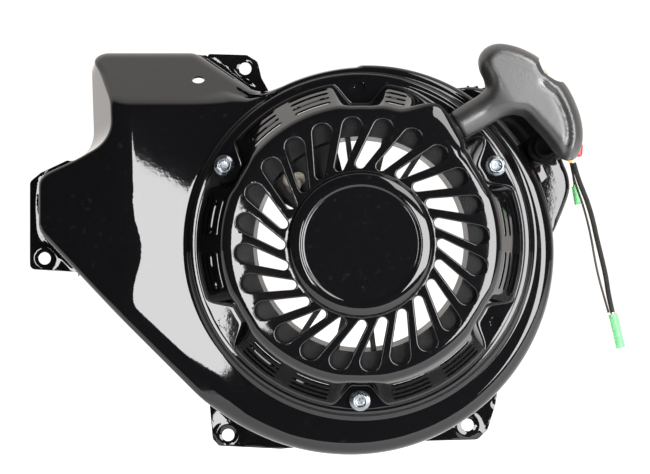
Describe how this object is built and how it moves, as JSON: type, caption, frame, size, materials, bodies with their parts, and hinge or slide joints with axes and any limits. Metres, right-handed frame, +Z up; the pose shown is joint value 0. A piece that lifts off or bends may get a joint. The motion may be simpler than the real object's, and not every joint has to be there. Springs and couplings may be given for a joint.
{
  "type": "recoil starter and blower housing",
  "caption": "Pull-cord starter bolted to the pressed-steel blower housing of a small engine, with T-handle, ratchet reel, stop switch and its leads.",
  "frame": {"origin": "on the crankshaft axis, in the rear mounting plane of the blower housing", "axes": "+Y along the crankshaft, into the engine; the starter faces -Y; +Z up; +X to the right seen from the starter's side"},
  "size_m": [0.3773, 0.1068, 0.255],
  "materials": {
    "black_gloss_paint": "gloss",
    "black_gloss_paint_case": "gloss",
    "black_steel": "satin",
    "zinc_plate": "zinc plated",
    "guide_plastic": "satin",
    "plated_steel": "plated",
    "spring_steel": "blued",
    "rope": "braided nylon",
    "switch_plastic": "satin",
    "yellow_insulation": "satin",
    "braided_sleeve": "braided",
    "black_insulation": "satin",
    "tinned_brass": "tinned",
    "green_vinyl": "translucent",
    "handle_plastic": "satin, grained",
    "reel_plastic": "satin",
    "red_plastic": "satin"
  },
  "bodies": {
    "housing": {"blower_housing": "black_gloss_paint", "weld_nuts": "black_steel", "starter_case": "black_gloss_paint_case", "starter_bolts": "zinc_plate", "rope_guide": "guide_plastic", "centre_post": "plated_steel", "centre_screw": "zinc_plate", "friction_spring": "spring_steel", "recoil_spring": "spring_steel", "pull_rope": "rope", "switch_body": "switch_plastic", "switch_nut": "plated_steel", "yellow_wire": "yellow_insulation", "lead_sleeve": "braided_sleeve", "lead_wire": "black_insulation", "bullet_terminal": "tinned_brass", "connector_sleeve": "green_vinyl", "short_lead": "black_insulation", "short_bullet_terminal": "tinned_brass", "short_connector_sleeve": "green_vinyl"},
    "handle": {"handle_grip": "handle_plastic", "handle_washer": "plated_steel", "handle_rope_knot": "rope"},
    "reel": {"reel": "reel_plastic", "rope_winding": "rope", "reel_rope_knot": "rope"},
    "ratchet_1": {"ratchet_1": "plated_steel"},
    "ratchet_2": {"ratchet_2": "plated_steel"},
    "ratchet_guide": {"ratchet_guide": "plated_steel"},
    "switch_knob": {"switch_knob": "red_plastic"}
  },
  "joints": [
    {"name": "handle_pull", "type": "slide", "parent": "housing", "child": "handle", "axis": [0.8599, 0, 0.5105], "range_m": [0, 0.95], "stiffness_N_per_m": 12, "springref_m": -0.5, "deforming": ["pull_rope"]},
    {"name": "reel_spin", "type": "hinge", "parent": "housing", "child": "reel", "pos_m": [0, 0, 0], "axis": [0, 1, 0], "range_deg": [0, 782.6], "deforming": ["recoil_spring"]},
    {"name": "ratchet_guide_turn", "type": "hinge", "parent": "reel", "child": "ratchet_guide", "pos_m": [0, 0, 0], "axis": [0, 1, 0], "range_deg": [-32, 0]},
    {"name": "ratchet_1_swing", "type": "hinge", "parent": "reel", "child": "ratchet_1", "pos_m": [0.026, 0, 0], "axis": [0, 1, 0], "range_deg": [0, 27]},
    {"name": "ratchet_2_swing", "type": "hinge", "parent": "reel", "child": "ratchet_2", "pos_m": [-0.026, 0, 0], "axis": [0, 1, 0], "range_deg": [0, 27]},
    {"name": "switch_turn", "type": "hinge", "parent": "housing", "child": "switch_knob", "pos_m": [0.1134, 0, 0.0596], "axis": [0, 1, 0], "range_deg": [-50, 0]}
  ],
  "couplings": [
    {"joint": "reel_spin", "follows": "handle_pull", "rad_per_m": 14.286},
    {"joint": "ratchet_guide_turn", "follows": "handle_pull", "rad_per_m": -0.55116},
    {"joint": "ratchet_1_swing", "follows": "handle_pull", "rad_per_m": 0.4593},
    {"joint": "ratchet_2_swing", "follows": "handle_pull", "rad_per_m": 0.4593}
  ]
}
